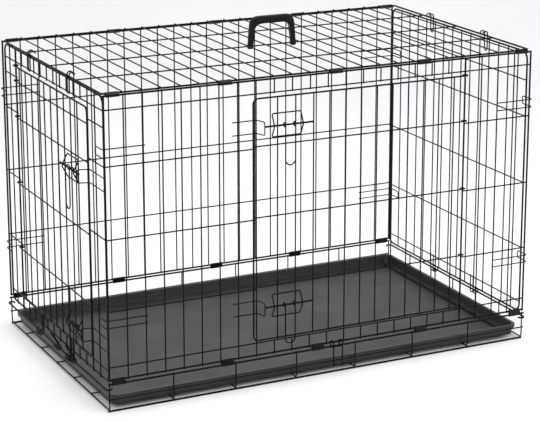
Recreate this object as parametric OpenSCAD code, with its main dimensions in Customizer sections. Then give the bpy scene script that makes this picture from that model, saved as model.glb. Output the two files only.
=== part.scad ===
// Folding two-door wire dog crate. Origin on the floor below the middle of the cabin.
// X runs along the long side, the front long side faces -Y, and Z is up.

/* [Crate] */
// Length between the planes of the two end panels
crate_l = 1220; // [1160:10:1280]
// Width between the planes of the front and back panels
crate_w = 750; // [735:15:765]
// Height from the floor to the top of the roof wires
crate_h = 820; // [810:5:840]

/* [Wire] */
// Diameter of the grid wires
grid_d = 3.6; // [3.2:0.1:4]
// Diameter of the rails and frames
rail_d = 5; // [4.6:0.1:5.2]
// Diameter of the loops that keep the bolts and of the corner stops
loop_d = 3; // [2.6:0.1:3.2]
// Distance between the axes of two wires that cross and are welded
weld = 3; // [2.8:0.1:3.2]

/* [Doors] */
// How far the latch side of a door overlaps the panel
door_lap = 11; // [9:1:13]
// Radius of the corners of a door frame
door_corner = 14; // [10:1:18]
// Mean radius of the curls that turn round a hinge wire
curl_r = 6.1; // [6:0.1:6.4]

/* [Latches] */
// Length of a bolt
bolt_l = 137; // [130:1:140]
// Travel of a bolt from drawn to shot
bolt_travel = 27; // [24:1:27]
// Width of a bolt bracket
bracket_w = 81; // [80:1:84]
// Height of a bolt bracket
bracket_h = 60; // [56:1:64]
// Length of the loop handle below its bolt
pull_l = 104; // [90:1:106]

/* [Tray] */
// Height of the tray
tray_h = 28; // [24:1:30]
// Radius of the corners of the tray
tray_corner = 28; // [20:1:60]
// Thickness of the tray's walls
tray_wall = 2.4; // [2:0.1:3]

/* [Carry handle] */
// Distance between the two feet of the handle
grip_span = 128; // [124:1:132]
// Height of the handle above its wire
grip_h = 80; // [76:1:100]
// Depth of the handle
grip_depth = 17; // [14:1:20]

/* [Hidden] */

$fn = 48;
half_l = crate_l / 2;
half_w = crate_w / 2;
grid_r = grid_d / 2;
rail_r = rail_d / 2;
loop_r = loop_d / 2;

// Front and back panels: 24 cells along the length
long_cells = 24;
pitch = crate_l / long_cells;
level = [264, 449, 635];
sill_z = 118;
head_z = 776;
panel_low_z = 85;
panel_top_z = crate_h - 9;
door_from = -4;
door_to = 8;
side_lap = 4;
part_gap = 0.1;

// Roof
roof_cross_z = crate_h - grid_r;
roof_z = roof_cross_z - weld;
roof_y = half_w - 9.5;
roof_corner = 12;

// Base
base_cells = 7;
base_pitch = crate_l / base_cells;
base_long_pitch = 125;
floor_long_z = rail_r;
floor_long_y = half_w - 5;
floor_cross_z = floor_long_z + weld;
floor_inner_z = floor_cross_z + weld;
riser_bend = 8;
riser_y = half_w - 1.5;
riser_x = half_l + 5;
base_rail_y = riser_y + weld;
base_rail_z = 75.5;
base_mid_z = 35;
end_rail_x = half_l + 8;
end_rail_z = 62;
end_curl_y = half_w - 5.8;

// End panels: 15 cells across the width, inside the front and back panels
end_cells = 15;
end_half = half_w - 11.25;
end_pitch = 2 * end_half / end_cells;
end_low_z = 78;
end_top_z = crate_h - 12;
end_corner = 22;
end_level = [262, 447, 632, 731];
end_sill_z = 106;
end_head_z = 773;
end_open = 5.5 * end_pitch;

// Front door, in the plane of the front panel
front_edge = door_from * pitch - door_lap;
front_hinge = door_to * pitch;
front_door_low = 128;
front_door_top = 766;
front_door_bars = [272, 457, 643];
front_uprights = concat([-148, -97], [for (k = [-1:8]) 46 * k]);

// End door, in the plane of the left end panel
end_edge = -end_open - door_lap;
end_hinge = end_open;
end_door_low = 119;
end_door_top = 765;
end_door_bars = [255, 440, 625, 724];
end_uprights = [for (k = [0:9]) end_edge + 60 + 48 * k];

// Door planes, counted outward from the plane of the panel's uprights
frame_d = 4.6;
bar_out = curl_r;
upright_out = curl_r + weld;
bracket_out = upright_out + weld;
bolt_out = 20;
apex_out = bolt_out + 7.6;

// Latches, counted along a door from its free edge
bracket_from = 49;
bolt_tip = 26;
pull_from = 81;
pull_w = 28;
pull_curl = 5.6;
keeper_tip = 22;
keeper_h = 34;
keeper_drop = 3;
keeper_out = 27;
front_latch_z = [695, 219];
end_latch_z = [590, 175];

// Folded straps and twin hooks
clip_l = 35;
clip_gap = 0.3;
clip_t = 1.2;
clip_far = 585;
clip_near = 285;
clip_mid = 25;
hook_y = 146;
hook_gap = 14;
hook_r = 7.5;
hook_z = crate_h;
hook_low = 780;
eye_y = 112;
eye_r = 8;

// Corner stops
stop_z = [[681, 660], [243, 224]];
stop_along = 105;
stop_round = 43;
stop_out = 7;

// Tray
tray_z = floor_inner_z + grid_r + 1.3;
tray_x0 = -half_l + 6;
tray_x1 = half_l - 4;
tray_half = half_w - 9;
tray_step = 8;
tray_lip = 9;
tray_stop_y = [-24, -136];
tray_stop_w = 22;
tray_stop_l = 46;
tray_stop_lean = 30;

// Carry handle and fold clasp
grip_x = 24;
grip_lean = 5;
grip_bar = 20;
grip_leg = 12;
foot_r = 8;
foot_l = 13;
foot_bore = grid_r + 0.5;
foot_slot = 3;
clasp_x = [17, 43];
clasp_r = 9.25;
clasp_y = (base_rail_y + half_w - weld) / 2;
clasp_z = (base_rail_z + panel_low_z) / 2;
clasp_low = 26;
clasp_foot = 8;

black = [0.07, 0.07, 0.075];
soot = [0.13, 0.13, 0.14];

// ---- wires ----

// Straight wire from p along an axis, to the coordinate "to"
module along_x(p, to, r = grid_r) {
    translate(p) rotate([0, 90, 0]) cylinder(h = to - p[0], r = r);
}
module along_y(p, to, r = grid_r) {
    translate([p[0], to, p[2]]) rotate([90, 0, 0]) cylinder(h = to - p[1], r = r);
}
module along_z(p, to, r = grid_r) {
    translate(p) cylinder(h = to - p[2], r = r);
}

// Bend of mean radius R round the Z axis
module bend(R, r, from, sweep) {
    rotate([0, 0, from]) rotate_extrude(angle = sweep) translate([R, 0]) circle(r);
}
// Bends whose axis lies along X or along Y; angles are counted from +Y or +X towards +Z
module bend_x(R, r, from, sweep) {
    rotate([90, 0, 90]) bend(R, r, from, sweep);
}
module bend_y(R, r, from, sweep) {
    rotate([90, 0, 0]) bend(R, r, from, sweep);
}

// Rounded loop of wire in the XZ plane
module loop_frame(x0, x1, z0, z1, R, r) {
    for (z = [z0, z1]) along_x([x0 + R, 0, z], x1 - R, r);
    for (x = [x0, x1]) along_z([x, 0, z0 + R], z1 - R, r);
    translate([x1 - R, 0, z1 - R]) bend_y(R, r, 0, 90);
    translate([x0 + R, 0, z1 - R]) bend_y(R, r, 90, 90);
    translate([x0 + R, 0, z0 + R]) bend_y(R, r, 180, 90);
    translate([x1 - R, 0, z0 + R]) bend_y(R, r, 270, 90);
}

// Points of a polyline with its inner corners rounded
function unit(v) = v / norm(v);
function curve(a, b, c, t) = (1 - t) * (1 - t) * a + 2 * t * (1 - t) * b + t * t * c;
function round_path(p, R, n = 4) = [
    for (i = [0:len(p) - 1])
        if (i == 0 || i == len(p) - 1) p[i]
        else for (k = [0:n])
            curve(p[i] + R * unit(p[i - 1] - p[i]), p[i], p[i] + R * unit(p[i + 1] - p[i]), k / n)
];
// Wire swept along a path of points
function tangent(p, i) = unit(p[min(i + 1, len(p) - 1)] - p[max(i - 1, 0)]);
function sides_of(p, i, u) = unit(u - (u * tangent(p, i)) * tangent(p, i));
function normals(p, u, i = 0, out = []) =
    i == len(p) ? out : normals(p, sides_of(p, i, u), i + 1, concat(out, [sides_of(p, i, u)]));
module swept_wire(p, r, start, n = 8) {
    u = normals(p, start);
    rings = [
        for (i = [0:len(p) - 1], k = [0:n - 1])
            p[i] + r * (cos(360 * k / n) * u[i] + sin(360 * k / n) * cross(tangent(p, i), u[i]))
    ];
    walls = [
        for (i = [0:len(p) - 2], k = [0:n - 1])
            [i * n + k, (i + 1) * n + k, (i + 1) * n + (k + 1) % n, i * n + (k + 1) % n]
    ];
    caps = [[for (k = [0:n - 1]) k], [for (k = [n - 1:-1:0]) (len(p) - 1) * n + k]];
    polyhedron(rings, concat(walls, caps));
}

// ---- placing ----

// A panel is drawn with its uprights in the plane y = 0 and its outer side towards -Y
module at_front() {
    translate([0, -half_w, 0]) children();
}
module at_back() {
    translate([0, half_w, 0]) mirror([0, 1, 0]) children();
}
module at_left() {
    translate([-half_l, 0, 0]) mirror([1, -1, 0]) children();
}
module at_right() {
    translate([half_l, 0, 0]) rotate([0, 0, 90]) children();
}

// ---- base ----

module base_floor() {
    color(black) {
        for (s = [-1, 1]) along_x([-half_l - 3, s * floor_long_y, floor_long_z], half_l + 3, rail_r);
        for (k = [0:base_cells])
            along_y([-half_l + k * base_pitch, -riser_y + riser_bend, floor_cross_z], riser_y - riser_bend);
        for (k = [-2:2]) along_x([-half_l - 3, k * base_long_pitch, floor_inner_z], riser_x - riser_bend);
    }
}

module base_side_rim() {
    along_x([-half_l - 4, -base_rail_y, base_rail_z], half_l + 4, rail_r);
    along_x([-half_l - 3, -base_rail_y, base_mid_z], half_l + 3);
    for (k = [0:base_cells]) translate([-half_l + k * base_pitch, -riser_y, floor_cross_z + riser_bend]) {
        along_z([0, 0, 0], base_rail_z + 3 - floor_cross_z - riser_bend);
        translate([0, riser_bend, 0]) bend_x(riser_bend, grid_r, 180, 90);
    }
}
module base_front_rim() {
    color(black) base_side_rim();
}
module base_back_rim() {
    color(black) mirror([0, 1, 0]) base_side_rim();
}

module base_right_rim() {
    color(black) for (k = [-2:2]) translate([riser_x, k * base_long_pitch, floor_inner_z + riser_bend]) {
        along_z([0, 0, 0], end_rail_z + 4 - floor_inner_z - riser_bend);
        translate([-riser_bend, 0, 0]) bend_y(riser_bend, grid_r, 270, 90);
    }
}

// End rail whose ends curl round the corner risers
module end_rail() {
    along_y([0, -end_curl_y, end_rail_z], end_curl_y, rail_r);
    translate([eye_r, -end_curl_y, end_rail_z]) bend(eye_r, rail_r, 180, 180);
    translate([eye_r, end_curl_y, end_rail_z]) bend(eye_r, rail_r, 0, 180);
}
module base_left_rail() {
    color(black) translate([-end_rail_x, 0, 0]) end_rail();
}
module base_right_rail() {
    color(black) translate([end_rail_x, 0, 0]) mirror([1, 0, 0]) end_rail();
}

// ---- panels ----

// Length of front panel beside the doorway, with uprights at the given cells
module front_side(x0, x1, end, edge, cells) {
    for (z = [panel_low_z, panel_top_z]) along_x([end < edge ? end - 3 : x0, weld, z], end < edge ? x1 : end + 3, rail_r);
    for (z = [sill_z, head_z]) along_x([x0, weld, z], x1);
    for (z = level) along_x([min(end, edge), weld, z], max(end, edge));
    for (k = cells)
        along_z([k * pitch, 0, panel_low_z - 3], panel_top_z + 3, k == long_cells / 2 || k == -long_cells / 2 || k == door_to ? rail_r : grid_r);
}
// Strip of front panel below or above the doorway
module front_strip(rail_z, bar_z, from, to) {
    x0 = door_from * pitch + side_lap + part_gap;
    x1 = door_to * pitch - side_lap - part_gap;
    along_x([x0, weld, rail_z], x1, rail_r);
    along_x([x0, weld, bar_z], x1);
    for (k = [door_from + 1:door_to - 1]) along_z([k * pitch, 0, from], to);
}
module front_panel() {
    color(black) at_front()
        front_side(-half_l, door_from * pitch + side_lap, -half_l, door_from * pitch, [-long_cells / 2:door_from]);
    color(black) at_front()
        front_side(door_to * pitch - side_lap, half_l, half_l, door_to * pitch, [door_to:long_cells / 2]);
    color(black) at_front() front_strip(panel_low_z, sill_z, panel_low_z - 3, sill_z + 2);
    color(black) at_front() front_strip(panel_top_z, head_z, head_z - 2, panel_top_z + 3);
}

module back_panel() {
    color(black) at_back() {
        for (z = [panel_low_z, panel_top_z]) along_x([-half_l - 3, weld, z], half_l + 3, rail_r);
        for (z = level) along_x([-half_l, weld, z], half_l);
        for (k = [-long_cells / 2:long_cells / 2])
            along_z([k * pitch, 0, panel_low_z - 3], panel_top_z + 3, abs(k) == long_cells / 2 ? rail_r : grid_r);
    }
}

module top_panel() {
    color(black) {
        translate([0, 0, roof_z]) rotate([90, 0, 0])
            loop_frame(-half_l, half_l, -roof_y, roof_y, roof_corner, rail_r);
        for (y = [-1:1]) along_x([-half_l, y * crate_w / 4, roof_z], half_l);
        for (k = [1 - long_cells / 2:long_cells / 2 - 1])
            along_y([k * pitch, -roof_y - 3, roof_cross_z], roof_y + 3);
    }
}

// Welded grid of a closed end panel
module end_grid() {
    translate([0, weld, 0]) loop_frame(-end_half, end_half, end_low_z, end_top_z, end_corner, rail_r);
    for (z = concat(end_level, [end_sill_z])) along_x([-end_half, weld, z], end_half);
    for (k = [1:end_cells - 1]) along_z([-end_half + k * end_pitch, 0, end_low_z - 3], end_top_z + 2);
}
// End panel beside the doorway, with its edge upright of the given radius
module end_side(edge_r) {
    for (z = [end_low_z, end_top_z]) along_x([-end_half + end_corner, weld, z], side_lap - end_open, rail_r);
    translate([0, weld, 0]) {
        along_z([-end_half, 0, end_low_z + end_corner], end_top_z - end_corner, rail_r);
        translate([-end_half + end_corner, 0, end_top_z - end_corner]) bend_y(end_corner, rail_r, 90, 90);
        translate([-end_half + end_corner, 0, end_low_z + end_corner]) bend_y(end_corner, rail_r, 180, 90);
    }
    for (z = end_level) along_x([-end_half, weld, z], -end_open);
    for (z = [end_sill_z, end_head_z]) along_x([-end_half, weld, z], side_lap - end_open);
    along_z([-end_half + end_pitch, 0, end_low_z - 3], end_top_z + 2);
    along_z([-end_open, 0, end_low_z - 3], end_top_z + 2, edge_r);
}
// Strip of end panel below or above the doorway
module end_strip(rail_z, bar_z, from, to) {
    x1 = end_open - side_lap - part_gap;
    along_x([-x1, weld, rail_z], x1, rail_r);
    along_x([-x1, weld, bar_z], x1);
    for (k = [3:end_cells - 3]) along_z([-end_half + k * end_pitch, 0, from], to);
}
module left_end_panel() {
    color(black) at_left() end_side(grid_r);
    color(black) at_left() mirror([1, 0, 0]) end_side(rail_r);
    color(black) at_left() end_strip(end_low_z, end_sill_z, end_low_z - 3, end_sill_z + 2);
    color(black) at_left() end_strip(end_top_z, end_head_z, end_head_z - 2, end_top_z + 2);
}
module right_end_panel() {
    color(black) at_right() end_grid();
}

// Twin eyes that turn on the end rail and carry the end panel
module hinge_eyes() {
    for (s = [-1, 1], t = [-1, 1]) translate([s * eye_y + t * hook_gap / 2, 0, end_rail_z]) {
        along_z([0, 0, 0], end_sill_z + 3 - end_rail_z);
        translate([0, -eye_r, 0]) bend_x(eye_r, grid_r, 90, 270);
    }
}
module left_hinge_eyes() {
    color(black) at_left() hinge_eyes();
}
module right_hinge_eyes() {
    color(black) at_right() hinge_eyes();
}

// Twin hooks over the roof's end rail, closed below like a hairpin
module top_hooks() {
    for (s = [-1, 1]) translate([s * hook_y, -3.6, 0]) {
        for (t = [-1, 1]) translate([t * hook_gap / 2, 0, hook_z]) {
            translate([0, 0, hook_low - hook_z]) along_z([0, 0, 0], hook_z - hook_low);
            translate([0, hook_r, 0]) bend_x(hook_r, grid_r, 0, 180);
        }
        translate([0, 0, hook_low]) bend_y(hook_gap / 2, grid_r, 180, 180);
    }
}
module left_top_hooks() {
    color(black) at_left() top_hooks();
}
module right_top_hooks() {
    color(black) at_right() top_hooks();
}

// Folded strap round two rails; a and b are their places in the YZ plane
module clip_outline(a, b, r) {
    d = b - a;
    for (p = [a, b]) translate(p) circle(r);
    translate((a + b) / 2) rotate(atan2(d[1], d[0])) square([norm(d), 2 * r], center = true);
}
module clip(a, b, x) {
    translate([x - clip_l / 2, 0, 0]) rotate([90, 0, 90]) linear_extrude(clip_l) difference() {
        clip_outline(a, b, rail_r + clip_gap + clip_t);
        clip_outline(a, b, rail_r + clip_gap);
    }
}
function clip_places(mid) = [-clip_far, -clip_near, mid, clip_near, clip_far];
module top_clips() {
    for (x = clip_places(clip_mid)) clip([-half_w + weld, panel_top_z], [-roof_y, roof_z], x);
}
module bottom_clips(mid) {
    for (x = clip_places(mid)) clip([-half_w + weld, panel_low_z], [-base_rail_y, base_rail_z], x);
}
module top_front_clips() {
    color(soot) top_clips();
}
module top_back_clips() {
    color(soot) mirror([0, 1, 0]) top_clips();
}
module bottom_front_clips() {
    color(soot) bottom_clips(-clip_mid);
}
module bottom_back_clips() {
    color(soot) mirror([0, 1, 0]) bottom_clips(clip_mid);
}

// Hairpin welded across two uprights, bent round the corner outside the end panel
module corner_stop(z) {
    x0 = half_l - stop_along;
    x1 = half_l + stop_out;
    y0 = -half_w - weld;
    y1 = -half_w + stop_round;
    path = [
        [x0, y0, z[0]], [x1, y0, z[0]], [x1, y1, z[0]],
        [x1, y1, z[1]], [x1, y0, z[1]], [x0, y0, z[1]]
    ];
    swept_wire(round_path(path, 6, 3), loop_r, [0, 1, 0]);
}
module corner_stops() {
    for (z = stop_z, s = [0, 1]) mirror([s, 0, 0]) corner_stop(z);
}
module front_corner_stops() {
    color(black) corner_stops();
}
module back_corner_stops() {
    color(black) mirror([0, 1, 0]) corner_stops();
}

// ---- doors ----

// Frame wire open on the hinge side, bars and uprights; bars end in curls round the hinge wire
module door(edge, hinge, low, top, bars, uprights) {
    translate([0, -bar_out, 0]) {
        for (z = [low, top]) along_x([edge + door_corner, 0, z], hinge - part_gap, frame_d / 2);
        for (z = bars) along_x([edge, 0, z], hinge - part_gap);
        along_z([edge, 0, low + door_corner], top - door_corner, frame_d / 2);
        translate([edge + door_corner, 0, top - door_corner]) bend_y(door_corner, frame_d / 2, 90, 90);
        translate([edge + door_corner, 0, low + door_corner]) bend_y(door_corner, frame_d / 2, 180, 90);
    }
    for (x = uprights) along_z([x, -upright_out, low - 2], top + 2);
}
// Ends of the door's bars, curled round the upright they turn on
module door_curls(hinge, low, top, bars) {
    for (z = concat([low, top], bars))
        translate([hinge, 0, z]) bend(curl_r, z == low || z == top ? frame_d / 2 : grid_r, 270, 270);
}
module front_door() {
    color(black) at_front()
        door(front_edge, front_hinge, front_door_low, front_door_top, front_door_bars, front_uprights);
    color(black) at_front() door_curls(front_hinge, front_door_low, front_door_top, front_door_bars);
}
module end_door() {
    color(black) at_left() door(end_edge, end_hinge, end_door_low, end_door_top, end_door_bars, end_uprights);
    color(black) at_left() door_curls(end_hinge, end_door_low, end_door_top, end_door_bars);
}

// Loop of wire whose two sides bow outward over the bolt
module bracket(edge, z) {
    x0 = edge + bracket_from;
    x1 = x0 + bracket_w;
    h = bracket_h / 2;
    path = [
        [edge + bracket_from + bracket_w / 2 - 1, -bracket_out, z + h],
        [x0, -bracket_out, z + h], [x0, -apex_out, z], [x0, -bracket_out, z - h],
        [x1, -bracket_out, z - h], [x1, -apex_out, z], [x1, -bracket_out, z + h],
        [edge + bracket_from + bracket_w / 2, -bracket_out, z + h]
    ];
    swept_wire(round_path(path, 6, 3), grid_r, [0, 1, 0]);
}
module front_brackets() {
    color(black) at_front() for (z = front_latch_z) bracket(front_edge, z);
}
module end_brackets() {
    color(black) at_left() for (z = end_latch_z) bracket(end_edge, z);
}

// Hairpin welded behind the panel's uprights, bowed out through the door for the bolt
module keeper(start, edge, latch_z) {
    x2 = edge + keeper_tip;
    x1 = x2 - 8;
    z0 = latch_z - keeper_drop - keeper_h / 2;
    z1 = z0 + keeper_h;
    path = [
        [start, weld, z1], [x1, weld, z1], [x2, -keeper_out, z1],
        [x2, -keeper_out, z0], [x1, weld, z0], [start, weld, z0]
    ];
    swept_wire(round_path(path, 5, 3), loop_r, [0, 0, 1]);
}
module front_keepers() {
    color(black) at_front() for (z = front_latch_z) keeper(front_edge - 54, front_edge, z);
}
module end_keepers() {
    color(black) at_left() for (z = end_latch_z) keeper(-end_half + 1, end_edge, z);
}

// Round bolt with a bevelled tip, drawn clear of its keeper
module bolt(edge, z) {
    translate([edge + bolt_tip, -bolt_out, z]) rotate([0, 90, 0]) {
        cylinder(h = 2, r1 = rail_r - 1, r2 = rail_r);
        translate([0, 0, 2]) cylinder(h = bolt_l - 2, r = rail_r);
    }
}
// Loop handle that hangs from the bolt by two eyes
module pull(edge, z) {
    leg = pull_l - pull_w / 2;
    translate([edge + pull_from, -bolt_out, z]) {
        for (x = [0, pull_w]) translate([x, 0, 0]) {
            along_z([0, -pull_curl, -leg], 0);
            bend_x(pull_curl, grid_r, -90, 270);
        }
        translate([pull_w / 2, -pull_curl, -leg]) bend_y(pull_w / 2, grid_r, 180, 180);
    }
}
module front_upper_bolt() {
    color(black) at_front() bolt(front_edge, front_latch_z[0]);
}
module front_lower_bolt() {
    color(black) at_front() bolt(front_edge, front_latch_z[1]);
}
module front_upper_pull() {
    color(black) at_front() pull(front_edge, front_latch_z[0]);
}
module front_lower_pull() {
    color(black) at_front() pull(front_edge, front_latch_z[1]);
}
module end_upper_bolt() {
    color(black) at_left() bolt(end_edge, end_latch_z[0]);
}
module end_lower_bolt() {
    color(black) at_left() bolt(end_edge, end_latch_z[1]);
}
module end_upper_pull() {
    color(black) at_left() pull(end_edge, end_latch_z[0]);
}
module end_lower_pull() {
    color(black) at_left() pull(end_edge, end_latch_z[1]);
}

// ---- tray ----

// Rounded slab of the tray's outline, moved in by "inset"
module tray_slab(inset, z0, z1) {
    r = tray_corner - inset;
    x0 = tray_x0 + inset;
    x1 = tray_x1 - inset;
    w = tray_half - inset;
    translate([0, 0, z0]) linear_extrude(z1 - z0) {
        translate([x0 + r, -w]) square([x1 - x0 - 2 * r, 2 * w]);
        translate([x0, -w + r]) square([x1 - x0, 2 * w - 2 * r]);
        for (x = [x0 + r, x1 - r], y = [-w + r, w - r]) translate([x, y]) circle(r);
    }
}
module tray() {
    color(soot) difference() {
        union() {
            tray_slab(tray_step, tray_z, tray_z + tray_h - tray_lip);
            tray_slab(0, tray_z + tray_h - tray_lip, tray_z + tray_h);
        }
        tray_slab(tray_step + tray_wall, tray_z + tray_wall, tray_z + tray_h - tray_wall);
        tray_slab(tray_step + tray_wall, tray_z + tray_h - tray_wall - 1, tray_z + tray_h + 1);
        difference() {
            tray_slab(tray_wall, tray_z + tray_h - tray_lip - 1, tray_z + tray_h - tray_wall);
            tray_slab(tray_step, tray_z, tray_z + tray_h);
        }
    }
}

// Hairpin on the left end rail; it leans up at rest and blocks the tray when it hangs
module tray_stop(y) {
    translate([-end_rail_x, y, end_rail_z]) rotate([0, -tray_stop_lean, 0]) {
        for (s = [-1, 1]) translate([0, s * tray_stop_w / 2, 0]) {
            along_z([pull_curl, 0, 0], tray_stop_l - tray_stop_w / 2);
            bend_y(pull_curl, grid_r, 90, 270);
        }
        translate([pull_curl, 0, tray_stop_l - tray_stop_w / 2])
            bend_x(tray_stop_w / 2, grid_r, 0, 180);
    }
}
module middle_tray_stop() {
    color(black) tray_stop(tray_stop_y[0]);
}
module front_tray_stop() {
    color(black) tray_stop(tray_stop_y[1]);
}

// ---- carry handle and fold clasp ----

module grip_outline() {
    outer = grip_span / 2 + grip_leg / 2;
    inner = grip_span / 2 - grip_leg / 2;
    top = grip_h;
    under = grip_h - grip_bar;
    difference() {
        polygon([
            [-outer, 0], [-outer + grip_lean, top - 22], [-outer + grip_lean + 7, top - 6],
            [-outer + grip_lean + 20, top], [outer - grip_lean - 20, top],
            [outer - grip_lean - 7, top - 6], [outer - grip_lean, top - 22], [outer, 0]
        ]);
        polygon([
            [-inner, -1], [-inner + grip_lean, under - 10], [-inner + grip_lean + 10, under],
            [inner - grip_lean - 10, under], [inner - grip_lean, under - 10], [inner, -1]
        ]);
    }
}
module carry_handle() {
    color(soot) translate([grip_x, 0, roof_z]) difference() {
        union() {
            rotate([90, 0, 0]) translate([0, 0, -grip_depth / 2]) linear_extrude(grip_depth) grip_outline();
            for (s = [-1, 1]) translate([s * grip_span / 2 - foot_l / 2, 0, 0])
                rotate([0, 90, 0]) cylinder(h = foot_l, r = foot_r);
        }
        translate([-grip_span, 0, 0]) rotate([0, 90, 0]) cylinder(h = 2 * grip_span, r = foot_bore);
        translate([-grip_span, -foot_slot / 2, -foot_r - 1]) cube([2 * grip_span, foot_slot, foot_r + 1]);
    }
}

// Twin loops round the two front bottom rails, with legs that end in turned-out feet
module fold_clasp() {
    foot_bend = clasp_foot / 2;
    color(black) {
        for (x = clasp_x) translate([x, -clasp_y, clasp_z]) {
            bend_x(clasp_r, grid_r, -90, 270);
            along_z([0, -clasp_r, clasp_low + foot_bend - clasp_z], 0);
            translate([0, -clasp_r - foot_bend, clasp_low + foot_bend - clasp_z])
                bend_x(foot_bend, grid_r, 270, 90);
            along_y([0, -clasp_r - clasp_foot, clasp_low - clasp_z], -clasp_r - foot_bend);
        }
        along_x([clasp_x[0] - 3, -clasp_y + 2, clasp_z - clasp_r], clasp_x[1] + 3);
    }
}

base_floor();
base_front_rim();
base_back_rim();
base_right_rim();
base_left_rail();
base_right_rail();
front_panel();
back_panel();
top_panel();
top_front_clips();
top_back_clips();
bottom_front_clips();
bottom_back_clips();
front_corner_stops();
back_corner_stops();
left_top_hooks();
right_top_hooks();
front_keepers();
front_door();
front_brackets();
front_upper_bolt();
front_upper_pull();
front_lower_bolt();
front_lower_pull();
left_end_panel();
left_hinge_eyes();
end_keepers();
end_door();
end_brackets();
end_upper_bolt();
end_upper_pull();
end_lower_bolt();
end_lower_pull();
right_end_panel();
right_hinge_eyes();
tray();
middle_tray_stop();
front_tray_stop();
carry_handle();
fold_clasp();
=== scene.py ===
import math

import bmesh
import bpy
from mathutils import Matrix, Vector


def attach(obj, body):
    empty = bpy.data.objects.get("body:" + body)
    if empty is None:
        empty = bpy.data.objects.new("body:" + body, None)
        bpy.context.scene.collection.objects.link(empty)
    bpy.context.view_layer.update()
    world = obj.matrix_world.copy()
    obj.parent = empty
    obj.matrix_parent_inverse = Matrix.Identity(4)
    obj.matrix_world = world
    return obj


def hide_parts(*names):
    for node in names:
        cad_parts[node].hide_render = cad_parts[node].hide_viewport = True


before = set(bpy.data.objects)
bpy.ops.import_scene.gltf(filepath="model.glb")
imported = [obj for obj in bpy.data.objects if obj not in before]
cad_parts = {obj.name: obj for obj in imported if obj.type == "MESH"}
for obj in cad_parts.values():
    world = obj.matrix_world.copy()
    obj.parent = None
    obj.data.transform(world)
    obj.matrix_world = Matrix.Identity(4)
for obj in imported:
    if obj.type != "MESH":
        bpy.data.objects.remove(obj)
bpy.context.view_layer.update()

# Lengths are in millimetres up to Build.done, which turns them into metres.
MM = 0.001

# Wires: radii, sides of a tube, and the distance between the centre lines of two welded wires
GRID, RAIL, LOOP, FRAME = 1.8, 2.5, 1.5, 2.3
SIDES = 12
WELD = 3.0
BEAD, RAIL_BEAD = 1.5, 1.6  # from a wire's centre line to the nugget on it
TAIL, STUB = 3, 2  # what a wire stands out past the wire that it ends on

# Crate: half length, half width and height
HL, HW, TOP = 610.0, 375.0, 820.0

# Front and back panels
LONG_CELLS, DOOR_FROM, DOOR_TO = 24, -4, 8
PITCH = 2 * HL / LONG_CELLS
LOW, SILL, HEAD, HIGH = 85, 118, 776, TOP - 9
LEVEL = (264, 449, 635)

# Roof
ROOF_CROSS = TOP - GRID
ROOF = ROOF_CROSS - WELD
ROOF_Y = HW - 9.5
ROOF_CORNER = 12

# Base
BASE_CELLS = 7
BASE_PITCH = 2 * HL / BASE_CELLS
LONG_PITCH = 125
FLOOR_LONG, FLOOR_CROSS, FLOOR_IN = RAIL, RAIL + WELD, RAIL + 2 * WELD
FLOOR_EDGE = HW - 5
BEND = 8
RISER_Y, RISER_X = HW - 1.5, HL + 5
BASE_Y, BASE_Z, MID_Z = RISER_Y + WELD, 75.5, 35
END_X, END_Z, END_CURL = HL + 8, 62, HW - 5.8

# End panels
END_CELLS = 15
END_HALF = HW - 11.25
END_PITCH = 2 * END_HALF / END_CELLS
END_LOW, END_SILL, END_HEAD, END_TOP = 78, 106, 773, TOP - 12
END_LEVEL = (262, 447, 632, 731)
END_CORNER = 22
END_OPEN = 5.5 * END_PITCH

# Twin hinge eyes below and twin hooks above: half their gap, place, radius
TWIN = 7
EYE_AT, EYE_R = 112, 8
HOOK_AT, HOOK_R, HOOK_SET, HOOK_LOW = 146, 7.5, -3.6, 780

# Doors: free edge, hinge, bars and uprights
DOOR_LAP, DOOR_CORNER = 11, 14
F_EDGE, F_HINGE = DOOR_FROM * PITCH - DOOR_LAP, DOOR_TO * PITCH
F_BARS, F_UP = (272, 457, 643), [-148, -97] + [46 * k for k in range(-1, 9)]
E_EDGE, E_HINGE = -END_OPEN - DOOR_LAP, END_OPEN
E_BARS, E_UP = (255, 440, 625, 724), [E_EDGE + 60 + 48 * k for k in range(10)]
CURL, UP = 6.1, 9.1  # the bars' distance from the panel's uprights, and that of the door's uprights

# Latches: distance outward of the bracket's foot, the bolt and the bracket's peak
BRACKET, BOLT, APEX = 12.1, 20, 27.6
F_LATCH, E_LATCH = (695, 219), (590, 175)
BOLT_FROM, BOLT_L = 26, 137
BRACKET_FROM, BRACKET_W, BRACKET_HALF = 49, 81, 30
KEEPER_TIP, KEEPER_SLOPE, KEEPER_OUT, KEEPER_H = 22, 8, 27, 34
PULL_FROM, PULL_CURL, PULL_W, PULL_L = 81, 5.6, 28, 104

# Carry handle: middle of the grip
GRIP_X = 24

WIRE = "black_wire"


# ---- placing: panels are drawn with their uprights at y = 0 and the outside towards -y ----
def plain(p):
    return Vector(p)


def front(p):
    return Vector((p[0], p[1] - HW, p[2]))


def back(p):
    return Vector((p[0], HW - p[1], p[2]))


def left(p):
    return Vector((p[1] - HL, p[0], p[2]))


def right(p):
    return Vector((HL - p[1], p[0], p[2]))


def sided(s):
    """Leaves a point at the front for s = 1 and mirrors it to the back for s = -1."""
    return lambda p: Vector((p[0], s * p[1], p[2]))


# ---- paths ----
def arc(c, R, a0, a1, plane, n):
    """Points on an arc; plane "xy", "xz" or "yz" gives where the angle is counted from and towards."""
    out = []
    for i in range(n + 1):
        a = math.radians(a0 + (a1 - a0) * i / n)
        p = list(c)
        p["xyz".index(plane[0])] += R * math.cos(a)
        p["xyz".index(plane[1])] += R * math.sin(a)
        out.append(p)
    return out


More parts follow.
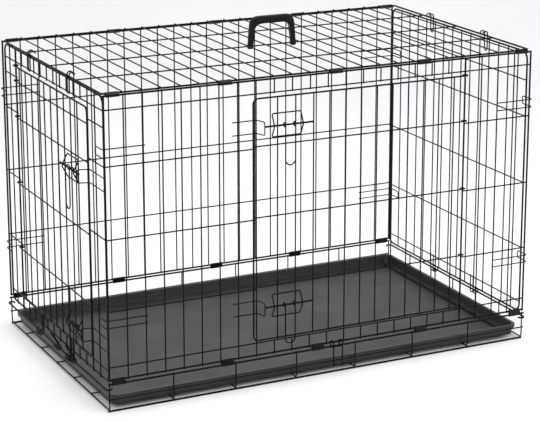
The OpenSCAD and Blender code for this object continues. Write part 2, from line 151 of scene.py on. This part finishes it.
def rounded(points, R, n=6):
    """Path whose corners are rounded off from R before each to R after it."""
    pts = [Vector(p) for p in points]
    out = [pts[0]]
    for a, b, c in zip(pts, pts[1:], pts[2:]):
        p, q = b + (a - b).normalized() * R, b + (c - b).normalized() * R
        for i in range(n + 1):
            t = i / n
            out.append((1 - t) ** 2 * p + 2 * t * (1 - t) * b + t * t * q)
    return out + [pts[-1]]


def ring(x0, x1, z0, z1, R, y):
    """Closed rounded loop, drawn as one path that overlaps itself by a hair."""
    mid, overlap = (x0 + x1) / 2, 0.2
    path = [(mid, y, z0)]
    for cx, cz, a0 in ((x1 - R, z0 + R, -90), (x1 - R, z1 - R, 0), (x0 + R, z1 - R, 90), (x0 + R, z0 + R, 180)):
        path += arc((cx, y, cz), R, a0, a0 + 90, "xz", 8)
    return path + [(mid + overlap, y, z0)]


# ---- meshes ----
def whole(n):
    """One face over a ring of n points."""
    return [list(range(n))]


def strips(n):
    """Quads across a ring of n points, for a ring too large and flat for one face."""
    return [[k, k + 1, n - 2 - k, n - 1 - k] for k in range(n // 2 - 1)]


class Build:
    def __init__(self, place=plain):
        self.place, self.v, self.f = place, [], []

    def add(self, verts, faces):
        n = len(self.v)
        self.v += [self.place(p) for p in verts]
        self.f += [[i + n for i in f] for f in faces]

    def loft(self, rings, wrap=False, cap=whole):
        """Skin over successive rings, closed at its ends or wrapped round to its first ring."""
        m, n = len(rings), len(rings[0])
        faces = []
        for i in range(m if wrap else m - 1):
            for k in range(n):
                j, i2 = (k + 1) % n, (i + 1) % m
                faces.append([i * n + k, i * n + j, i2 * n + j, i2 * n + k])
        if not wrap:
            faces += [face[::-1] for face in cap(n)]
            faces += [[(m - 1) * n + k for k in face] for face in cap(n)]
        self.add([p for points in rings for p in points], faces)

    def turned(self, profile, y, z, n, wrap=False):
        """Solid turned about a line along X, from pairs of x and radius."""
        angles = [2 * math.pi * k / n for k in range(n)]
        self.loft([[(x, y + r * math.cos(a), z + r * math.sin(a)) for a in angles] for x, r in profile], wrap)

    def wire(self, path, r, ends=True):
        """Tube along a path, with a small chamfer at its cut ends."""
        pts = [Vector(p) for p in path]
        pts = [p for i, p in enumerate(pts) if i == 0 or (p - pts[i - 1]).length > 1e-4]
        last = len(pts) - 1
        tan = [(pts[min(i + 1, last)] - pts[max(i - 1, 0)]).normalized() for i in range(last + 1)]
        side = tan[0].orthogonal().normalized()
        stations = []
        for p, t in zip(pts, tan):
            side = (side - side.dot(t) * t).normalized()
            stations.append((p, t, side, r))
        if ends:
            c = min(0.35, r * 0.2)
            p, t, s, _ = stations[0]
            stations = [(p, t, s, r - c), (p + t * c, t, s, r)] + stations[1:]
            p, t, s, _ = stations[-1]
            stations = stations[:-1] + [(p - t * c, t, s, r), (p, t, s, r - c)]
        angles = [2 * math.pi * k / SIDES for k in range(SIDES)]
        rings = []
        for p, t, s, q in stations:
            u = t.cross(s)
            rings.append([p + q * (math.cos(a) * s + math.sin(a) * u) for a in angles])
        self.loft(rings)

    def level(self, x0, x1, z, r=GRID, y=WELD):
        self.wire([(x0, y, z), (x1, y, z)], r)

    def upright(self, x, z0, z1, r=GRID, y=0):
        self.wire([(x, y, z0), (x, y, z1)], r)

    def bead(self, p, across, a=1.9, b=1.5):
        """Small weld nugget where two wires cross; "across" is the axis from one wire to the other."""
        n, m = 8, 4
        size = [a, a, a]
        size[across] = b
        order = [axis for axis in (0, 1, 2) if axis != across] + [across]
        verts, faces = [], []
        for i in range(1, m):
            t = math.pi * i / m
            for k in range(n):
                q = 2 * math.pi * k / n
                v = [0, 0, 0]
                for axis, c in zip(order, (math.sin(t) * math.cos(q), math.sin(t) * math.sin(q), math.cos(t))):
                    v[axis] = c * size[axis] + p[axis]
                verts.append(v)
        for sign in (1, -1):
            v = list(p)
            v[across] += sign * b
            verts.append(v)
        top, bottom = len(verts) - 2, len(verts) - 1
        for i in range(m - 2):
            for k in range(n):
                j = (k + 1) % n
                faces.append([i * n + k, (i + 1) * n + k, (i + 1) * n + j, i * n + j])
        for k in range(n):
            j = (k + 1) % n
            faces.append([top, k, j])
            faces.append([bottom, (m - 2) * n + j, (m - 2) * n + k])
        self.add(verts, faces)

    def beads(self, x, heights):
        for z in heights:
            self.bead((x, BEAD, z), 1)

    def done(self, name, node, body, slot, smooth=40):
        mesh = bpy.data.meshes.new(name)
        mesh.from_pydata([v * MM for v in self.v], [], self.f)
        bm = bmesh.new()
        bm.from_mesh(mesh)
        bmesh.ops.recalc_face_normals(bm, faces=bm.faces)
        bm.to_mesh(mesh)
        bm.free()
        mesh.shade_smooth()
        mesh.set_sharp_from_angle(angle=math.radians(smooth))
        obj = bpy.data.objects.new(name, mesh)
        bpy.context.scene.collection.objects.link(obj)
        mesh.materials.append(MATS[slot])
        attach(obj, body)
        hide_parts(node)


# ---- materials ----
def noise(nt, coord, scale, detail):
    n = nt.nodes.new("ShaderNodeTexNoise")
    n.inputs["Scale"].default_value = scale
    n.inputs["Detail"].default_value = detail
    n.inputs["Roughness"].default_value = 0.55
    nt.links.new(coord.outputs["Object"], n.inputs["Vector"])
    return n


def ramp(nt, source, low, high):
    m = nt.nodes.new("ShaderNodeMapRange")
    m.inputs["From Min"].default_value, m.inputs["From Max"].default_value = 0.35, 0.65
    m.inputs["To Min"].default_value, m.inputs["To Max"].default_value = low, high
    nt.links.new(source.outputs[0], m.inputs["Value"])
    return m


def coloured(nt, source, dark, light):
    c = nt.nodes.new("ShaderNodeValToRGB")
    c.color_ramp.elements[0].position, c.color_ramp.elements[1].position = 0.3, 0.7
    c.color_ramp.elements[0].color = (*dark, 1)
    c.color_ramp.elements[1].color = (*light, 1)
    nt.links.new(source.outputs[0], c.inputs[0])
    return c


def bump(nt, bsdf, source, strength, distance):
    b = nt.nodes.new("ShaderNodeBump")
    b.inputs["Strength"].default_value = strength
    b.inputs["Distance"].default_value = distance
    nt.links.new(source.outputs[0], b.inputs["Height"])
    nt.links.new(b.outputs[0], bsdf.inputs["Normal"])


def surface(name, dark, light, rough, cloud, grain, strength, distance, coat=0.0, gloss=0.5):
    """Plain surface whose tone and roughness drift over a wide noise, with a fine noise as its grain."""
    mat = bpy.data.materials.new(name)
    mat.use_nodes = True
    nt = mat.node_tree
    nt.nodes.clear()
    out = nt.nodes.new("ShaderNodeOutputMaterial")
    bsdf = nt.nodes.new("ShaderNodeBsdfPrincipled")
    nt.links.new(bsdf.outputs[0], out.inputs[0])
    coord = nt.nodes.new("ShaderNodeTexCoord")
    big, fine = noise(nt, coord, cloud, 4), noise(nt, coord, grain, 2)
    nt.links.new(coloured(nt, big, dark, light).outputs[0], bsdf.inputs["Base Color"])
    nt.links.new(ramp(nt, big, *rough).outputs[0], bsdf.inputs["Roughness"])
    bump(nt, bsdf, fine, strength, distance)
    bsdf.inputs["Coat Weight"].default_value = coat
    bsdf.inputs["Coat Roughness"].default_value = 0.25
    bsdf.inputs["Specular IOR Level"].default_value = gloss
    return mat


LOOKS = {
    "black_wire": dict(
        dark=(0.002, 0.002, 0.0022), light=(0.005, 0.005, 0.0055), rough=(0.28, 0.40),
        cloud=22, grain=900, strength=0.12, distance=0.0003, coat=0.02, gloss=0.06,
    ),
    "black_strap": dict(
        dark=(0.002, 0.002, 0.0022), light=(0.006, 0.006, 0.0065), rough=(0.28, 0.42),
        cloud=40, grain=700, strength=0.15, distance=0.0003, coat=0.03, gloss=0.1,
    ),
    "tray_plastic": dict(
        dark=(0.010, 0.010, 0.011), light=(0.018, 0.018, 0.019), rough=(0.34, 0.46),
        cloud=9, grain=520, strength=0.25, distance=0.0005, gloss=0.42,
    ),
    "dark_plastic": dict(
        dark=(0.004, 0.004, 0.0044), light=(0.008, 0.008, 0.0085), rough=(0.40, 0.52),
        cloud=30, grain=900, strength=0.22, distance=0.0004, gloss=0.12,
    ),
}
MATS = {slot: surface(slot, **look) for slot, look in LOOKS.items()}


# ---- base ----
def floor_grid():
    b = Build()
    for s in (-1, 1):
        b.level(-HL - TAIL, HL + TAIL, FLOOR_LONG, RAIL, s * FLOOR_EDGE)
    for k in range(BASE_CELLS + 1):
        x = -HL + k * BASE_PITCH
        b.wire([(x, -RISER_Y + BEND, FLOOR_CROSS), (x, RISER_Y - BEND, FLOOR_CROSS)], GRID, False)
        for s in (-1, 1):
            b.bead((x, s * FLOOR_EDGE, FLOOR_LONG + RAIL_BEAD), 2)
        for j in range(-2, 3):
            b.bead((x, j * LONG_PITCH, FLOOR_CROSS + BEAD), 2)
    for j in range(-2, 3):
        b.level(-HL - TAIL, RISER_X - BEND, FLOOR_IN, GRID, j * LONG_PITCH)
    b.done("floor_wires", "base_floor", "crate", WIRE)


def rims():
    for name, node, s in (("front_rim_wires", "base_front_rim", -1), ("back_rim_wires", "base_back_rim", 1)):
        b = Build()
        b.level(-HL - TAIL - 1, HL + TAIL + 1, BASE_Z, RAIL, s * BASE_Y)
        b.level(-HL - TAIL, HL + TAIL, MID_Z, GRID, s * BASE_Y)
        for k in range(BASE_CELLS + 1):
            x = -HL + k * BASE_PITCH
            low = arc((x, RISER_Y - BEND, FLOOR_CROSS + BEND), BEND, -90, 0, "yz", 8)
            b.wire([(x, s * p[1], p[2]) for p in low] + [(x, s * RISER_Y, BASE_Z + TAIL)], GRID)
            for z in (MID_Z, BASE_Z):
                b.bead((x, s * (RISER_Y + RAIL_BEAD), z), 1)
        b.done(name, node, "crate", WIRE)
    b = Build()
    for j in range(-2, 3):
        y = j * LONG_PITCH
        low = arc((RISER_X - BEND, y, FLOOR_IN + BEND), BEND, -90, 0, "xz", 8)
        b.wire(low + [(RISER_X, y, END_Z + TAIL + 1)], GRID)
        b.bead((RISER_X + RAIL_BEAD, y, END_Z), 0)
    b.done("right_rim_wires", "base_right_rim", "crate", WIRE)


def end_rails():
    for name, node, s in (("left_rail_wire", "base_left_rail", -1), ("right_rail_wire", "base_right_rail", 1)):
        b = Build()
        path = arc((-END_X + EYE_R, -END_CURL, END_Z), EYE_R, 360, 180, "xy", 18)
        path += arc((-END_X + EYE_R, END_CURL, END_Z), EYE_R, 180, 0, "xy", 18)
        b.wire([(-s * p[0], p[1], p[2]) for p in path], RAIL)
        b.done(name, node, "crate", WIRE)


# ---- panels ----
def front_panel():
    b = Build(front)
    for z in (LOW, HIGH):
        b.level(-HL - TAIL, HL + TAIL, z, RAIL)
    for z in (SILL, HEAD):
        b.level(-HL, HL, z)
    for z in LEVEL:
        b.level(-HL, DOOR_FROM * PITCH, z)
        b.level(DOOR_TO * PITCH, HL, z)
    edge = LONG_CELLS // 2
    for k in range(-edge, edge + 1):
        r = RAIL if k in (-edge, DOOR_TO, edge) else GRID
        x, doorway = k * PITCH, DOOR_FROM < k < DOOR_TO
        if doorway:
            b.upright(x, LOW - TAIL, SILL + STUB, r)
            b.upright(x, HEAD - STUB, HIGH + TAIL, r)
        else:
            b.upright(x, LOW - TAIL, HIGH + TAIL, r)
        b.beads(x, (LOW, SILL, HEAD, HIGH) + (() if doorway else LEVEL))
    b.done("front_panel_wires", "front_panel", "crate", WIRE)


def back_panel():
    b = Build(back)
    for z in (LOW, HIGH):
        b.level(-HL - TAIL, HL + TAIL, z, RAIL)
    for z in LEVEL:
        b.level(-HL, HL, z)
    edge = LONG_CELLS // 2
    for k in range(-edge, edge + 1):
        b.upright(k * PITCH, LOW - TAIL, HIGH + TAIL, RAIL if abs(k) == edge else GRID)
        b.beads(k * PITCH, (LOW, HIGH) + LEVEL)
    b.done("back_panel_wires", "back_panel", "crate", WIRE)


def top_panel():
    b = Build()
    b.wire([(x, y, ROOF) for x, _, y in ring(-HL, HL, -ROOF_Y, ROOF_Y, ROOF_CORNER, 0)], RAIL)
    for j in (-1, 0, 1):
        b.level(-HL, HL, ROOF, GRID, j * HW / 2)
    edge = LONG_CELLS // 2
    for k in range(1 - edge, edge):
        x = k * PITCH
        b.wire([(x, -ROOF_Y - TAIL, ROOF_CROSS), (x, ROOF_Y + TAIL, ROOF_CROSS)], GRID)
        for y in (-ROOF_Y, -HW / 2, 0, HW / 2, ROOF_Y):
            b.bead((x, y, ROOF + BEAD), 2)
    b.done("top_panel_wires", "top_panel", "crate", WIRE)


def end_grid(place, name, node, body, doorway):
    """End panel; doorway is half the width of its opening, or 0."""
    b = Build(place)
    b.wire(ring(-END_HALF, END_HALF, END_LOW, END_TOP, END_CORNER, WELD), RAIL)
    for z in END_LEVEL:
        if doorway:
            b.level(-END_HALF, -doorway, z)
            b.level(doorway, END_HALF, z)
        else:
            b.level(-END_HALF, END_HALF, z)
    across = (END_SILL, END_HEAD) if doorway else (END_SILL,)
    for z in across:
        b.level(-END_HALF, END_HALF, z)
    for k in range(1, END_CELLS):
        x = -END_HALF + k * END_PITCH
        if abs(x) > doorway - 1:
            hinge = doorway and abs(x - doorway) < 1
            b.upright(x, END_LOW - TAIL, END_TOP + STUB, RAIL if hinge else GRID)
            b.beads(x, (END_LOW, END_TOP) + END_LEVEL + across)
        else:
            b.upright(x, END_LOW - TAIL, END_SILL + STUB)
            b.upright(x, END_HEAD - STUB, END_TOP + STUB)
            b.beads(x, (END_LOW, END_TOP) + across)
    b.done(name, node, body, WIRE)


def hinge_eyes(place, name, node, body):
    b = Build(place)
    for s in (-1, 1):
        for t in (-TWIN, TWIN):
            x = s * EYE_AT + t
            b.wire([(x, 0, END_SILL + TAIL)] + arc((x, -EYE_R, END_Z), EYE_R, 360, 90, "yz", 24), GRID)
    b.done(name, node, body, WIRE)


def top_hooks(place, name, node):
    """Hairpins closed below, whose two ends hook over the roof's end wire."""
    b = Build(place)
    for s in (-1, 1):
        x = s * HOOK_AT
        first, second = (
            [(x + t, HOOK_SET + p[1], p[2]) for p in arc((0, HOOK_R, TOP), HOOK_R, 0, 180, "yz", 16)]
            for t in (-TWIN, TWIN)
        )
        low = [(x + p[0], HOOK_SET, p[2]) for p in arc((0, 0, HOOK_LOW), TWIN, 180, 360, "xz", 14)]
        b.wire(first + low + second[::-1], GRID)
    b.done(name, node, "crate", WIRE)


# ---- folded straps ----
def strap(b, p, q, x):
    """Strip of sheet bent round the two wires at p and q, with broken edges."""
    half, edge, n = 17.5, 0.25, 9
    inner, outer = RAIL + 0.3, RAIL + 1.5
    d = math.atan2(q[1] - p[1], q[0] - p[0])
    turns = [(c, d + math.radians(a0 + 180 * i / n)) for c, a0 in ((q, -90), (p, 90)) for i in range(n + 1)]
    section = (
        (outer, -half + edge), (outer, half - edge), (outer - edge, half), (inner + edge, half),
        (inner, half - edge), (inner, -half + edge), (inner + edge, -half), (outer - edge, -half),
    )
    b.loft([[(x + dx, c[0] + r * math.cos(a), c[1] + r * math.sin(a)) for c, a in turns] for r, dx in section], True)


def straps():
    top = ((-HW + WELD, HIGH), (-ROOF_Y, ROOF))
    low = ((-HW + WELD, LOW), (-BASE_Y, BASE_Z))
    for node, ends, mid, s in (
        ("top_front_clips", top, 25, 1), ("top_back_clips", top, 25, -1),
        ("bottom_front_clips", low, -25, 1), ("bottom_back_clips", low, 25, -1),
    ):
        b = Build(sided(s))
        for x in (-585, -285, mid, 285, 585):
            strap(b, *ends, x)
        b.done(node + "_straps", node, "crate", "black_strap", smooth=30)


# ---- corner stops, keepers, brackets ----
def corner_stops():
    y0, y1 = -HW - WELD, -HW + 43
    for node, s in (("front_corner_stops", 1), ("back_corner_stops", -1)):
        b = Build(sided(s))
        for z0, z1 in ((681, 660), (243, 224)):
            for m in (1, -1):
                x0, x1 = m * (HL - 105), m * (HL + 7)
                path = [(x0, y0, z0), (x1, y0, z0), (x1, y1, z0), (x1, y1, z1), (x1, y0, z1), (x0, y0, z1)]
                b.wire(rounded(path, 6), LOOP)
        b.done(node + "_wires", node, "crate", WIRE)


def keepers():
    for place, node, body, edge, start, heights in (
        (front, "front_keepers", "crate", F_EDGE, F_EDGE - 54, F_LATCH),
        (left, "end_keepers", "left_end", E_EDGE, -END_HALF + 1, E_LATCH),
    ):
        b = Build(place)
        x2 = edge + KEEPER_TIP
        x1 = x2 - KEEPER_SLOPE
        for z in heights:
            z0 = z - 20
            z1 = z0 + KEEPER_H
            path = [
                (start, WELD, z1), (x1, WELD, z1), (x2, -KEEPER_OUT, z1),
                (x2, -KEEPER_OUT, z0), (x1, WELD, z0), (start, WELD, z0),
            ]
            b.wire(rounded(path, 5), LOOP)
        b.done(node + "_wires", node, body, WIRE)


def brackets():
    for place, node, body, edge, heights in (
        (front, "front_brackets", "front_door", F_EDGE, F_LATCH),
        (left, "end_brackets", "end_door", E_EDGE, E_LATCH),
    ):
        b = Build(place)
        x0 = edge + BRACKET_FROM
        x1, mid = x0 + BRACKET_W, x0 + BRACKET_W / 2
        for z in heights:
            top, low = z + BRACKET_HALF, z - BRACKET_HALF
            path = [
                (mid - 0.5, -BRACKET, top), (x0, -BRACKET, top), (x0, -APEX, z), (x0, -BRACKET, low),
                (x1, -BRACKET, low), (x1, -APEX, z), (x1, -BRACKET, top), (mid, -BRACKET, top),
            ]
            b.wire(rounded(path, 6), GRID)
        b.done(node + "_wires", node, body, WIRE)


# ---- doors ----
def door(place, node, body, edge, hinge, low, top, bars, uprights):
    def curl(z):
        return arc((hinge, 0, z), CURL, 270, 540, "xy", 22)

    b, R = Build(place), DOOR_CORNER
    path = curl(top)[::-1]
    path += arc((edge + R, -CURL, top - R), R, 90, 180, "xz", 8)
    path += arc((edge + R, -CURL, low + R), R, 180, 270, "xz", 8) + curl(low)
    b.wire(path, FRAME)
    for z in bars:
        b.wire([(edge, -CURL, z)] + curl(z), GRID)
        b.bead((edge, -CURL - 0.4, z), 1, 2.6, 2.2)
    for x in uprights:
        b.upright(x, low - STUB, top + STUB, GRID, -UP)
        for z in (low, top, *bars):
            b.bead((x, -CURL - BEAD, z), 1)
    b.done(node + "_wires", node, body, WIRE)


def latch(place, name, edge, z):
    """Bolt with a bevelled tip, and the loop handle that hangs from it by two eyes."""
    b = Build(place)
    x, end = edge + BOLT_FROM, edge + BOLT_FROM + BOLT_L
    b.turned([(x, 0.9), (x + 0.5, 1.6), (x + 2.2, RAIL), (end - 0.4, RAIL), (end, 2.1)], -BOLT, z, 20)
    b.done(name + "_bolt_rod", name + "_bolt", name + "_bolt", WIRE)

    def eye(x):
        return arc((x, -BOLT, z), PULL_CURL, -90, 180, "yz", 22)

    b = Build(place)
    x0, radius = edge + PULL_FROM, PULL_W / 2
    low = arc((x0 + radius, -BOLT - PULL_CURL, z - PULL_L + radius), radius, 180, 360, "xz", 18)
    b.wire(eye(x0) + low + eye(x0 + PULL_W)[::-1], GRID)
    b.done(name + "_pull_wire", name + "_pull", name + "_pull", WIRE)


# ---- tray ----
def tray():
    b = Build()
    floor_z = FLOOR_IN + GRID + 1.3
    x0, x1, y1, corner, n = -HL + 6, HL - 4, HW - 9, 28, 10
    # Section from the underside up the wall, over the lip and down to the floor, as inset and height
    profile = [
        (14, 0), (9.5, 0), (8.4, 0.4), (8, 1.4), (8, 18.2), (7.4, 18.9), (1, 19), (0.3, 19.3), (0, 20),
        (0, 27), (0.3, 27.7), (1, 28), (9.2, 28), (10.1, 27.6), (10.5, 26.6),
        (11, 6), (12, 3.6), (14.5, 2.4), (34, 2.4),
    ]
    rings = []
    for inset, z in profile:
        points = []
        for cx, cy, a0 in (
            (x1 - corner, y1 - corner, 0), (x0 + corner, y1 - corner, 90),
            (x0 + corner, -y1 + corner, 180), (x1 - corner, -y1 + corner, 270),
        ):
            points += arc((cx, cy, floor_z + z), corner - inset, a0, a0 + 90, "xy", n)
        rings.append(points)
    b.loft(rings, cap=strips)
    b.done("tray_pan", "tray", "tray", "tray_plastic", smooth=35)


def tray_stops():
    lean = Matrix.Rotation(math.radians(-30), 3, "Y")
    half, reach = 11, 35
    for node, y in (("middle_tray_stop", -24), ("front_tray_stop", -136)):
        b = Build(lambda p: lean @ Vector(p) + Vector((-END_X, 0, END_Z)))
        path = arc((0, y - half, 0), PULL_CURL, 90, 360, "xz", 22)
        path += arc((PULL_CURL, y, reach), half, 180, 0, "yz", 16)
        path += arc((0, y + half, 0), PULL_CURL, 360, 90, "xz", 22)
        b.wire(path, GRID)
        b.done(node + "_wire", node, node, WIRE)


# ---- carry handle and clasp ----
def carry_handle():
    b = Build()
    outer, inner, lean, depth = 70, 58, 5, 8.5
    top, under = 80, 60
    # Outer and inner outline of the left half, paired across the bar from the foot to the grip
    left_half = [
        ((-outer, 0), (-inner, 0)),
        ((-outer + lean, top - 22), (-inner + lean, under - 15)),
        ((-outer + lean + 2.5, top - 12), (-inner + lean + 4, under - 7)),
        ((-outer + lean + 8, top - 5), (-inner + lean + 11, under - 1.6)),
        ((-outer + lean + 16, top - 1.4), (-inner + lean + 22, under)),
        ((-outer + lean + 26, top), (-inner + lean + 22, under)),
    ]
    right_half = [((-a[0], a[1]), (-u[0], u[1])) for a, u in reversed(left_half)]
    # Rounding of a long edge: distance along the outline's pair, and back from the bar's face
    edge = [(0, 2.4), (0.7, 0.7), (2.4, 0)]
    sections = []
    for a, u in left_half + right_half:
        a, u = Vector(a), Vector(u)
        d = (u - a).normalized()
        section = [(a + d * off, step - depth) for off, step in edge]
        section += [(u - d * off, step - depth) for off, step in edge[::-1]]
        section += [(u - d * off, depth - step) for off, step in edge]
        section += [(a + d * off, depth - step) for off, step in edge[::-1]]
        sections.append([(GRIP_X + q[0], y, ROOF + q[1]) for q, y in section])
    b.loft(sections)
    # Foot: a ring round the roof's middle wire, as distance along it and radius
    foot = [(-6.5, 6.8), (-5.6, 7.8), (-5, 8), (5, 8), (5.6, 7.8), (6.5, 6.8), (6.5, 2.3), (-6.5, 2.3)]
    for s in (-1, 1):
        x = GRIP_X + s * 64
        b.turned([(x + dx, r) for dx, r in foot], 0, ROOF, 28, True)
    b.done("carry_handle_grip", "carry_handle", "carry_handle", "dark_plastic", smooth=45)


def fold_clasp():
    b = Build()
    y, z, R = -(BASE_Y + HW - WELD) / 2, (BASE_Z + LOW) / 2, 9.25
    for x in (17, 43):
        loop = arc((x, y, z), R, -90, 180, "yz", 26)
        foot = arc((x, y - R - 4, 30), 4, 360, 270, "yz", 6)
        b.wire(loop + foot + [(x, y - R - 8, 26)], GRID)
    b.level(14, 46, z - R, GRID, y + 2)
    b.done("fold_clasp_wires", "fold_clasp", "crate", WIRE)


# ---- studio, in metres ----
def backdrop():
    """Floor that runs up behind the crate in one curve."""
    near, flat, radius, wall, half, n = -9, 3.2, 2.2, 9, 14, 24
    profile = [(near, 0), (flat, 0)]
    for i in range(1, n + 1):
        a = math.pi / 2 * i / n
        profile.append((flat + radius * math.sin(a), radius - radius * math.cos(a)))
    profile.append((flat + radius, wall))
    turn = Matrix.Rotation(math.radians(-27), 3, "Z")
    verts = [turn @ Vector((x, y, z)) for y, z in profile for x in (-half, half)]
    faces = [[2 * i, 2 * i + 1, 2 * i + 3, 2 * i + 2] for i in range(len(profile) - 1)]
    mesh = bpy.data.meshes.new("floor")
    mesh.from_pydata(verts, [], faces)
    mesh.shade_smooth()
    floor = bpy.data.objects.new("floor", mesh)
    bpy.context.scene.collection.objects.link(floor)
    mesh.materials.append(surface(
        "studio_paper", dark=(0.80, 0.80, 0.80), light=(0.84, 0.84, 0.84), rough=(0.6, 0.7),
        cloud=1.5, grain=60, strength=0.02, distance=0.0005,
    ))


def area(name, at, to, size, power):
    light = bpy.data.lights.new(name, "AREA")
    light.shape, light.size, light.energy = "SQUARE", size, power
    o = bpy.data.objects.new(name, light)
    o.location = at
    o.rotation_euler = (Vector(to) - Vector(at)).to_track_quat("-Z", "Y").to_euler()
    bpy.context.scene.collection.objects.link(o)


def lights():
    area("key", (-3.4, -3.6, 4.0), (0, 0, 0.4), 4.4, 170)
    area("fill", (3.6, -2.6, 2.2), (0, 0, 0.4), 2.8, 90)
    area("top", (0.2, 0.4, 4.6), (0, 0, 0), 3.6, 120)
    world = bpy.data.worlds.new("world")
    world.use_nodes = True
    world.node_tree.nodes["Background"].inputs[0].default_value = (0.95, 0.97, 1.0, 1)
    world.node_tree.nodes["Background"].inputs[1].default_value = 0.68
    bpy.context.scene.world = world
    bpy.context.scene.view_settings.view_transform = "Standard"


def camera():
    """Camera of the photograph: azimuth, elevation and roll in degrees."""
    cam = bpy.data.cameras.new("camera")
    cam.lens, cam.sensor_width = 130.6, 36
    cam.shift_x, cam.shift_y = -0.05, -0.1
    o = bpy.data.objects.new("camera", cam)
    a, e, roll = math.radians(-26.895), math.radians(14.694), math.radians(0.177)
    facing = Vector((math.sin(a) * math.cos(e), -math.cos(a) * math.cos(e), math.sin(e)))
    across = Vector((math.cos(a), math.sin(a), 0))
    up = facing.cross(across)
    across, up = across * math.cos(roll) + up * math.sin(roll), up * math.cos(roll) - across * math.sin(roll)
    o.location = (-2.2646, -4.6653, 1.8643)
    o.rotation_euler = Matrix((across, up, facing)).transposed().to_euler()
    cam.clip_start, cam.clip_end = 0.05, 60
    bpy.context.scene.collection.objects.link(o)
    bpy.context.scene.camera = o


floor_grid()
rims()
end_rails()
front_panel()
back_panel()
top_panel()
for side, place, doorway in (("left", left, END_OPEN), ("right", right, 0)):
    end_grid(place, side + "_end_wires", side + "_end_panel", side + "_end", doorway)
    hinge_eyes(place, side + "_end_eyes", side + "_hinge_eyes", side + "_end")
    top_hooks(place, side + "_top_hook_wires", side + "_top_hooks")
straps()
corner_stops()
keepers()
brackets()
door(front, "front_door", "front_door", F_EDGE, F_HINGE, 128, 766, F_BARS, F_UP)
door(left, "end_door", "end_door", E_EDGE, E_HINGE, 119, 765, E_BARS, E_UP)
for which, front_z, end_z in zip(("upper", "lower"), F_LATCH, E_LATCH):
    latch(front, "front_" + which, F_EDGE, front_z)
    latch(left, "end_" + which, E_EDGE, end_z)
tray()
tray_stops()
carry_handle()
fold_clasp()
backdrop()
lights()
camera()
